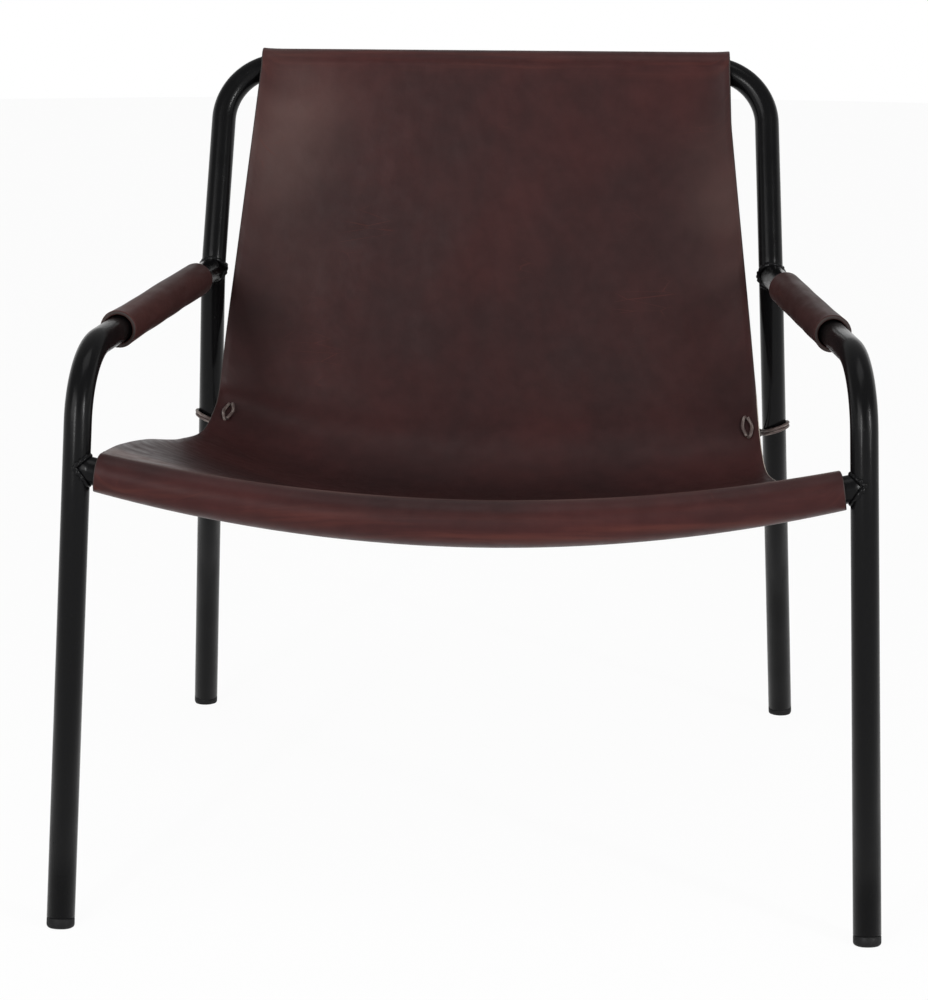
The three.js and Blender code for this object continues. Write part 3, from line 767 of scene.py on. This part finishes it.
def loop_arc(centre, radius, target, turn):
    """Loop round a rail, from where a line to the target leaves it to where the hem begins."""
    way = target - centre
    start = math.atan2(way[1], way[0]) + turn * math.acos(radius / np.linalg.norm(way))
    angles = start + turn * np.linspace(0, math.pi + HEM_TURN, LOOP_ROWS + 1)
    return centre + radius * np.stack([np.cos(angles), np.sin(angles)], axis=1)


def hem_distance(radius):
    """Way down the panel from a loop's start to where its tail meets the panel."""
    run = (radius * (1 + math.cos(HEM_TURN)) - HEM_OFFSET) / math.sin(HEM_TURN)
    return radius * math.sin(HEM_TURN) + run * math.cos(HEM_TURN)


def sling_column(u):
    """Middle of the leather at a share of the half width: flat points, panel shares and lengths."""
    origin = np.array([RAIL_SETBACK, RAIL_HEIGHT])
    level = np.array([TOP_CORNER[1], TOP_CORNER[2]])
    edge = EDGE_SHARES[1 if u > 0 else -1]
    targets = origin + (level - origin) * (MIDDLE_SHARES + (edge - MIDDLE_SHARES) * u * u)
    actual = top_rail_at(abs(u) * SLING_TOP_HALF)[1:]
    drop = np.linalg.norm(actual - level)
    slack = FRONT_SLACK * (1 - u * u)
    snug = TUBE_RADIUS + LOOP_GAP + LEATHER / 2
    top_radius, front_radius = snug + TOP_LOOP_SHARE * drop, snug + slack
    front_centre = rail_at(u * SLING_FRONT_HALF)[1:] - np.array([0, SLACK_SAG_SHARE * slack])
    top = loop_arc((level + actual) / 2, top_radius, targets[0], -1)
    front = loop_arc(front_centre, front_radius, targets[-1], 1)
    curve = smooth_curve(np.vstack([top[:1], targets, front[:1]]), CURVE_SAMPLES)
    lengths = lengths_along(curve)
    total = lengths[-1]

    def panel(distances):
        return np.stack([np.interp(distances, lengths, curve[:, k]) for k in range(2)], axis=1)

    def tail(near, far):
        distances = np.linspace(far, near, TAIL_ROWS)
        way = units(panel(distances + WAY_STEP) - panel(distances - WAY_STEP))
        return panel(distances) - np.stack([way[:, 1], -way[:, 0]], axis=1) * HEM_OFFSET

    def hem(tail_line, loop):
        bridge = np.linspace(0, 1, TAIL_ROWS)[1:-1, None]
        bridge = tail_line[-1] + (loop[-1] - tail_line[-1]) * bridge
        return softened(np.vstack([tail_line, bridge, loop[::-1][:-1]]), HEM_CORNER)

    hems = hem_distance(top_radius), hem_distance(front_radius)
    top_hem = hem(tail(hems[0], hems[0] + HEM_LENGTH), top)
    front_hem = hem(tail(total - hems[1], total - hems[1] - HEM_LENGTH), front)
    body = panel(np.linspace(0, total, PANEL_ROWS + 1))
    shares = np.concatenate([
        np.zeros(len(top_hem)), np.linspace(0, 1, PANEL_ROWS + 1),
        1 + np.linspace(0, 1, len(front_hem) + 1)[1:],
    ])
    return np.vstack([top_hem, body, front_hem[::-1]]), shares


def softened(line, corner):
    """The line with its corner rounded by averaging the places around it."""
    line = line.copy()
    low, high = max(1, corner - SOFTEN_REACH), min(len(line) - 1, corner + SOFTEN_REACH + 1)
    for _ in range(SOFTEN_PASSES):
        line[low:high] = (line[low - 1:high - 1] + 2 * line[low:high] + line[low + 1:high + 1]) / 4
    return line


def half_width(share, side=0):
    """Half width of the sling down the panel and, past 1, round the front roll; 1 is right."""
    growth = np.interp(share, np.linspace(0, 1, len(WIDTH_SHARES)), WIDTH_SHARES)
    width = SLING_TOP_HALF + (SLING_FRONT_HALF - SLING_TOP_HALF) * growth
    width = width + np.interp(share, *ROLL_WEAR)
    if side > 0:
        width = width - np.interp(share, *RIGHT_WEAR)
    return width


def fade(values, window):
    """Rises from 0 to 1 as the values go from a window's start to its end."""
    start, end = window
    return np.clip((values - start) / (end - start), 0, 1)


def settle(places, share):
    """Small uneven sags and swells of the used leather, in metres."""
    inner = fade(share, SAG_START) * fade(share, SAG_END)
    lift = np.zeros_like(share)
    for k, p in enumerate(places):
        for height, (across, up, back), offset in (SAG, RIPPLE):
            wave = Vector((p[0] * across, p[2] * up, p[1] * back + offset))
            lift[k] += noise.noise(wave) * height
    return lift * inner


def sling_grid():
    """Middle of the leather as columns of places, their lengths down it, and the rows' shares."""
    grid, lengths, shares = [], [], None
    for u in np.linspace(-1, 1, COLUMNS + 1):
        flat, shares = sling_column(u)
        x = u * half_width(shares, math.copysign(1, u))
        grid.append(np.stack([x, flat[:, 0], flat[:, 1]], axis=1))
        lengths.append(lengths_along(flat))
    return np.array(grid), np.array(lengths), shares


def grid_normals(grid):
    """Unit normals of the grid, on the side away from the sitter."""
    normal = np.cross(np.gradient(grid, axis=0), np.gradient(grid, axis=1))
    return normal / np.linalg.norm(normal, axis=2)[:, :, None]


grid, cut_lengths, row_shares = sling_grid()
normals = grid_normals(grid)
for i in range(COLUMNS + 1):
    grid[i] += normals[i] * settle(grid[i], row_shares)[:, None]
normals = grid_normals(grid)


def sling_layers(share, across, facing):
    """Tone zones: roll streaks (painted shade on upward faces), painted highlight, painted shade.
    """
    back, up = facing[:, 1], facing[:, 2]
    front = fade(share, FRONT_ZONE)
    painted_highlight = np.exp(-((back - CREST_FACING_BACK) / CREST_SPREAD) ** 2)

    def spots(places):
        return (back < up) * sum(
            strength * np.exp(-((across - x) / spread) ** 2 - ((share - down) / length) ** 2)
            for x, spread, down, length, strength in places)

    return {
        # Worn streaks on the front roll, kept off its upward faces as painted shade, and on the top
        # hem
        "roll": front * fade(up, ROLL_FACING_UP) + TOP_STREAKS * fade(share, TOP_ZONE),
        "painted_highlight": spots(SLING_PAINTED_SHEEN) + front * painted_highlight * fade(share, CREST_ZONE),
        "painted_shade": spots(SLING_PAINTED_SHADE),
    }


def sling_piece():
    """The grid as leather of an even thickness, with rounded cut edges all round."""
    columns, rows, _ = grid.shape
    half = LEATHER / 2
    out_left, out_right = units(grid[0] - grid[1]), units(grid[-1] - grid[-2])
    soft, corner = EDGE_SOFTNESS, EDGE_CORNER_SHARE * EDGE_SOFTNESS
    rim = [(half, -soft), (half - corner, -corner), (half - soft, 0), (-half + soft, 0),
           (-half + corner, -corner), (-half, -soft)]
    ring, cuts, is_rim = [], [], []

    def put(points, cut, edge):
        ring.append(points)
        cuts.append(cut)
        is_rim.append(edge)

    def cut_of(i):
        u = 2 * i / (columns - 1) - 1
        return np.stack([u * half_width(row_shares), cut_lengths[i], np.zeros(rows)], axis=1)

    for i in range(1, columns - 1):
        put(grid[i] + normals[i] * half, cut_of(i), False)
    for height, beyond in rim:
        put(grid[-1] + normals[-1] * height + out_right * beyond, cut_of(columns - 1), True)
    for i in range(columns - 2, 0, -1):
        put(grid[i] - normals[i] * half, cut_of(i), False)
    for height, beyond in rim[::-1]:
        put(grid[0] + normals[0] * height + out_left * beyond, cut_of(0), True)
    ring, cuts = np.array(ring), np.array(cuts)
    count = len(ring)
    verts = ring.transpose(1, 0, 2).reshape(-1, 3)
    cut = cuts.transpose(1, 0, 2).reshape(-1, 3)
    faces, marks = [], []
    for j in range(rows - 1):
        for k in range(count):
            m = (k + 1) % count
            faces.append((j * count + k, (j + 1) * count + k, (j + 1) * count + m, j * count + m))
            marks.append(1 if is_rim[k] and is_rim[m] else 0)
    upper = list(range(0, columns - 2))
    lower = [k + len(rim) + columns - 2 for k in upper][::-1]
    for j, flip in ((0, False), (rows - 1, True)):
        left = [count - 1 - k for k in range(len(rim))]
        right = [columns - 2 + k for k in range(len(rim))]
        chain_top = [left[0]] + upper + [right[0]]
        chain_low = [left[-1]] + lower + [right[-1]]
        for a, b, c, d in zip(chain_top[:-1], chain_top[1:], chain_low[1:], chain_low[:-1]):
            face = tuple(j * count + n for n in (a, b, c, d))
            faces.append(face[::-1] if flip else face)
            marks.append(1)
        for chain in (left, right):
            face = tuple(j * count + n for n in chain)
            faces.append(face if (chain is left) == flip else face[::-1])
            marks.append(1)
    facing = np.concatenate([-normals[1:-1], np.repeat(-normals[-1:], len(rim), axis=0),
                             -normals[-2:0:-1], np.repeat(-normals[:1], len(rim), axis=0)])
    facing = facing.transpose(1, 0, 2).reshape(-1, 3)
    layers = sling_layers(np.repeat(row_shares, count), verts[:, 0], facing)
    return add_piece("sling_leather", verts, faces, [SLING_LEATHER, RAW_EDGE],
                     ["sling"], cut, layers, marks)


sling = sling_piece()


# Laces from the sling's holes round the uprights
def sling_spot(side, distance):
    """Place and face normal near the sling's edge, at a distance from the lace's middle."""
    target = 1 - LACE_INSET[side] / half_width(LACE_PLACE[side], side)
    column = (COLUMNS / 2) * (1 + side * target)
    low = int(math.floor(column))
    panel = (row_shares > 0) & (row_shares <= 1)
    line = (grid[low] + (grid[low + 1] - grid[low]) * (column - low))[panel]
    face = normals[low][panel]
    lengths = lengths_along(line)
    rest = LACE_PLACE[side] * lengths[-1] + distance
    index = int(np.searchsorted(lengths, rest))
    share = (rest - lengths[index - 1]) / (lengths[index] - lengths[index - 1])
    place = line[index - 1] + (line[index] - line[index - 1]) * share
    return place, -face[index]


def lace_route(side):
    """Lace out of its two holes, round the upright, and over itself on the sling's face."""
    upper, face_upper = sling_spot(side, -LACE_SPACING[side] / 2)
    lower, face_lower = sling_spot(side, LACE_SPACING[side] / 2)
    outward = np.array((side, 0, 0))
    stand = LEATHER / 2 + LACE_GAP + LACE_RADIUS
    middle, face_middle = (upper + lower) / 2, unit(face_upper + face_lower)

    def spot(place, face, height, across):
        return place + face * height + outward * across

    reach = TUBE_RADIUS + 2 * LACE_GAP + LACE_RADIUS
    start_across, end_across = (LACE_SPREAD * share for share in LACE_NARROW_SHARES)
    wraps = []
    for k, turn in enumerate(LACE_TURNS):
        height = LACE_LOOP_HEIGHT[side] + LACE_LOOP_DROP * (0.5 - k / (len(LACE_TURNS) - 1))
        height += LACE_LOOP_TILT[side] * math.cos(turn * math.pi)
        centre, _ = upright_at(side, height)
        wraps.append(centre + np.array((side * reach * math.cos(turn * math.pi),
                                        reach * math.sin(turn * math.pi), 0)))
    knots = [
        spot(lower, face_lower, stand, -start_across),
        spot(middle, face_middle, stand, -LACE_SPREAD),
        spot(upper, face_upper, stand, -end_across),
        spot(upper, face_upper, 0, 0),
        spot(upper, face_upper, -stand, LACE_RADIUS),
        *wraps,
        spot(lower, face_lower, -stand, LACE_RADIUS),
        spot(lower, face_lower, 0, 0),
        spot(lower, face_lower, stand, end_across),
        spot(middle, face_middle, stand, LACE_SPREAD),
        spot(upper, face_upper, stand, start_across),
    ]
    return smooth_curve(np.array(knots), LACE_SAMPLES)


for side_name, side in SIDES.items():
    route = lace_route(side)
    verts, faces, cut = sweep(route, ways_of(route), LACE_RADIUS, LACE_SIDES)
    add_piece(f"tie_{side_name}_lace", verts, faces, [LACE],
              [f"tie_{side_name}"], cut)


# Arm sleeves; their cut coordinates are shortened lengthwise, which stretches the leather's noises
SLEEVE_CUT_SHARE = 0.4
SLEEVE_CUT_OFFSET = 0.3


def sleeve_frame(side):
    """Ends of a sleeve and its directions along, across and up."""
    joint, _ = upright_at(side, ARM_JOINT[2])
    corner = mirrored(ARM_CORNER, side)
    start, end = along(corner, joint, SLEEVE_FRONT[side]), along(joint, corner, SLEEVE_REAR[side])
    axis = unit(end - start)
    across = unit(np.cross((0, 0, 1), axis))
    return start, end, axis, across, np.cross(axis, across)


def sleeve_piece(side_name, side):
    """Leather rolled round the arm, with soft ends, and a slit under the arm."""
    start, end, axis, across, up = sleeve_frame(side)
    length = float(np.linalg.norm(end - start))
    inner = TUBE_RADIUS + SLEEVE_GAP
    steps, rings = SLEEVE_STEPS, SLEEVE_RINGS
    inset = math.asin(SLEEVE_SLIT / 2 / inner)
    angles = np.linspace(-math.pi / 2 + inset, 1.5 * math.pi - inset, steps + 1)
    verts, cut = [], []
    for k in range(rings + 1):
        share = k / rings
        if k not in (0, rings):
            share = 0.5 - 0.5 * math.cos(math.pi * share)
        distance = length * share
        end_gap = min(distance, length - distance)
        rounding = SLEEVE_SOFTNESS * max(0.0, 1 - end_gap / SLEEVE_SOFTNESS) ** 2
        flare = SLEEVE_FLARE * math.exp(-distance / SLEEVE_FLARE_LENGTH)
        for outer in (True, False):
            for angle in angles if outer else angles[::-1]:
                cosine, sine = math.cos(angle), math.sin(angle)
                radius = inner + flare + (LEATHER - rounding if outer else rounding)
                if outer:
                    radius += SLEEVE_SWELL * noise.noise(Vector((
                        cosine * SLEEVE_SWELL_TURN, sine * SLEEVE_SWELL_TURN,
                        distance * SLEEVE_SWELLS_PER_M)))
                verts.append(start + axis * distance + radius * (cosine * across + sine * up))
                cut.append((distance * SLEEVE_CUT_SHARE, angle * radius, SLEEVE_CUT_OFFSET * side))
    ring = 2 * (steps + 1)
    faces, marks = [], []
    for k in range(rings):
        for m in range(ring):
            n = (m + 1) % ring
            faces.append((k * ring + m, k * ring + n, (k + 1) * ring + n, (k + 1) * ring + m))
            marks.append(1 if m in (steps, ring - 1) else 0)
    for k, flip in ((0, True), (rings, False)):
        for m in range(steps):
            a, b = k * ring + m, k * ring + m + 1
            c, d = k * ring + ring - 2 - m, k * ring + ring - 1 - m
            faces.append((a, b, c, d) if not flip else (d, c, b, a))
            marks.append(1)
    return add_piece(f"sleeve_{side_name}_leather", verts, faces, [SLEEVE_LEATHER, RAW_EDGE],
                     [f"sleeve_{side_name}"], cut, None, marks)


def sleeve_thread_piece(side_name, side):
    """Zigzag of stitches over the slit under the arm."""
    start, end, axis, across, up = sleeve_frame(side)
    length = float(np.linalg.norm(end - start))
    reach = TUBE_RADIUS + SLEEVE_GAP + LEATHER + SLEEVE_THREAD / 2
    stitches = []
    count = int((length - SLEEVE_SEAM_ENDS) / SLEEVE_STITCH * 2)
    for k in range(count):
        centre = start + axis * (SLEEVE_SEAM_START + SLEEVE_STITCH / 2 * k)
        turn = SLEEVE_STITCH_TURN if k % 2 else -SLEEVE_STITCH_TURN
        line = []
        for share in np.linspace(-1, 1, SLEEVE_STITCH_POINTS):
            angle = -math.pi / 2 + turn * share
            sink = SLEEVE_THREAD * SLEEVE_STITCH_SINK * abs(share) ** 6
            line.append(centre + axis * (SLEEVE_STITCH * SLEEVE_STITCH_LEAD * share)
                        + (reach - sink) * (math.cos(angle) * across + math.sin(angle) * up))
        line = np.array(line)
        stitches.append(sweep(line, ways_of(line), SLEEVE_THREAD / 2, THREAD_SIDES))
    verts, faces, cut = joined(stitches)
    add_piece(f"sleeve_thread_{side_name}_stitches", verts, faces, [THREAD],
              [f"sleeve_thread_{side_name}"], cut)


for side_name, side in SIDES.items():
    sleeve = sleeve_piece(side_name, side)
    sleeve_thread_piece(side_name, side)


# Seam stitches on the outer face of both hems: the row each lies on
HEM_EDGE_COLUMNS = 1.2
TOP_SEAM_ROW = 3
FRONT_SEAM_ROW = -4


def hem_stitches(name, row):
    """Short stitches along a row of the sling, sunk into it at their ends."""
    across = np.linspace(HEM_EDGE_COLUMNS, COLUMNS - HEM_EDGE_COLUMNS, HEM_LINE_POINTS)
    low = np.floor(across).astype(int)
    share = (across - low)[:, None]
    line = grid[low, row] * (1 - share) + grid[low + 1, row] * share
    face = normals[low, row]
    lengths = lengths_along(line)
    sink = np.abs(np.linspace(-1, 1, HEM_STITCH_POINTS)) ** 4 * HEM_THREAD
    height = LEATHER / 2 + HEM_THREAD * HEM_THREAD_RISE - sink
    stitches = []
    for k in range(int(lengths[-1] / HEM_STITCH)):
        first, last = (k + share for share in HEM_STITCH_SPAN)
        places = np.linspace(first, last, HEM_STITCH_POINTS) * HEM_STITCH
        centre, normal = (
            np.stack([np.interp(places, lengths, values[:, n]) for n in range(3)], axis=1)
            for values in (line, face))
        path = centre - normal * height[:, None]
        stitches.append(sweep(path, ways_of(path), HEM_THREAD / 2, THREAD_SIDES))
    verts, faces, cut = joined(stitches)
    add_piece(f"{name}_stitches", verts, faces, [THREAD], [name], cut)


hem_stitches("top_hem_thread", TOP_SEAM_ROW)
hem_stitches("front_hem_thread", FRONT_SEAM_ROW)


# Floor, walls and light
ROOM_RADIUS = 8.0
WALL_HEIGHT = 3.2
WALL_SIDES = 96
ROOM_TINT = (0.82, 0.82, 0.82, 1)
WHITE = (1, 1, 1, 1)
FLOOR_SHARE = 0.95
BACKDROP_SHARE = 1.0
AMBIENT = 0.42

# Area lights aimed at the chair's middle: name, place, width, height and power
LIGHTS = [
    ("key", (-1.7, -2.3, 1.75), 1.7, 1.5, 30),
    ("strip_left", (-1.15, -3.0, 1.5), 0.12, 1.1, 30),
    ("strip_right", (2.2, -1.9, 1.45), 0.12, 1.1, 34),
    ("fill", (1.9, -2.2, 1.6), 1.2, 1.0, 7),
    ("top", (0.2, -0.3, 3.0), 1.6, 1.2, 10),
]
LIGHT_TARGET = Vector((0, 0, 0.45))


def white_in_view(name, share):
    """Pale surface with its shadow, which cameras, mirrors and glass see white to a share."""
    s = Shader(name)
    path = s.add("LightPath").outputs
    plain = s.add("BsdfDiffuse", values={"Color": ROOM_TINT}).outputs[0]
    white = s.add("Emission", values={"Color": WHITE, "Strength": 1.0}).outputs[0]
    mirrored_or_through = s.math("MAXIMUM", path["Is Glossy Ray"], path["Is Transmission Ray"])
    seen = s.math("MAXIMUM", path["Is Camera Ray"], mirrored_or_through)
    both = s.add("MixShader", {0: s.product(seen, share), 1: plain, 2: white})
    return s.finish(both.outputs[0])


def make_stage():
    """Round white room without a ceiling."""
    angles = 2 * math.pi * np.arange(WALL_SIDES) / WALL_SIDES
    ring = [(ROOM_RADIUS * math.cos(a), ROOM_RADIUS * math.sin(a), 0) for a in angles]
    above = [(x, y, WALL_HEIGHT) for x, y, _ in ring]
    count = WALL_SIDES
    walls = [(k, (k + 1) % count, (k + 1) % count + count, k + count) for k in range(count)]
    for name, points, faces, share in (
            ("floor", ring, [tuple(range(count))], FLOOR_SHARE),
            ("backdrop", ring + above, walls, BACKDROP_SHARE)):
        mesh = bpy.data.meshes.new(name)
        mesh.from_pydata(points, [], faces)
        mesh.materials.append(white_in_view(f"{name}_white", share))
        piece = bpy.data.objects.new(name, mesh)
        bpy.context.scene.collection.objects.link(piece)


def make_world():
    """Plain grey light from above the walls."""
    world = bpy.data.worlds.new("studio")
    world.use_nodes = True
    tree = world.node_tree
    tree.nodes.clear()
    background = tree.nodes.new("ShaderNodeBackground")
    background.inputs["Color"].default_value = WHITE
    background.inputs["Strength"].default_value = AMBIENT
    out = tree.nodes.new("ShaderNodeOutputWorld")
    tree.links.new(background.outputs[0], out.inputs["Surface"])
    bpy.context.scene.world = world


def area_light(name, place, width, height, power):
    data = bpy.data.lights.new(name, "AREA")
    data.shape = "RECTANGLE"
    data.size, data.size_y, data.energy = width, height, power
    light = bpy.data.objects.new(name, data)
    light.location = place
    light.rotation_euler = (LIGHT_TARGET - Vector(place)).to_track_quat("-Z", "Y").to_euler()
    light.visible_camera = False
    bpy.context.scene.collection.objects.link(light)


make_stage()
make_world()
for light in LIGHTS:
    area_light(*light)

bpy.context.scene.view_settings.view_transform = "Standard"
